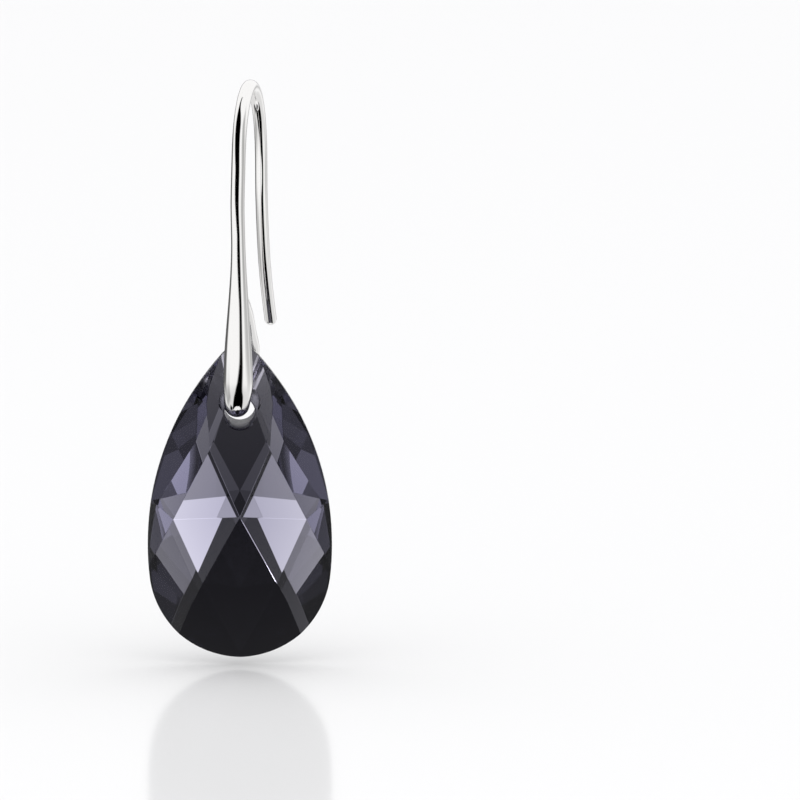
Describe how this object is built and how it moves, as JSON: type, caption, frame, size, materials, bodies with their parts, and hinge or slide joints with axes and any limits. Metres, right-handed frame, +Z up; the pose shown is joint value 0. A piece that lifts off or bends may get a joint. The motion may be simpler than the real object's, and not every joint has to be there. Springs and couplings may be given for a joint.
{
  "type": "drop earring",
  "caption": "Drop earring: fish-hook ear wire with a teardrop stem and bail loop, carrying a faceted smoky pear-shaped crystal.",
  "frame": {"origin": "underside of the hook's arch, where it bears in the ear", "axes": "+Z up along the hanging earring, -Y the crystal's front face, +X to the right seen from the front"},
  "size_m": [0.0129, 0.0122, 0.0407],
  "materials": {
    "polished_silver": "mirror-polished silver",
    "smoky_crystal": "clear cut, smoky grey-violet"
  },
  "bodies": {
    "hook": {"ear_hook": "polished_silver"},
    "drop": {"crystal_drop": "smoky_crystal"}
  },
  "joints": [
    {"name": "drop_swing", "type": "hinge", "parent": "hook", "child": "drop", "pos_m": [-0.00069, -0.0001, -0.0218], "axis": [0, 1, 0], "range_deg": [-60, 60]}
  ]
}
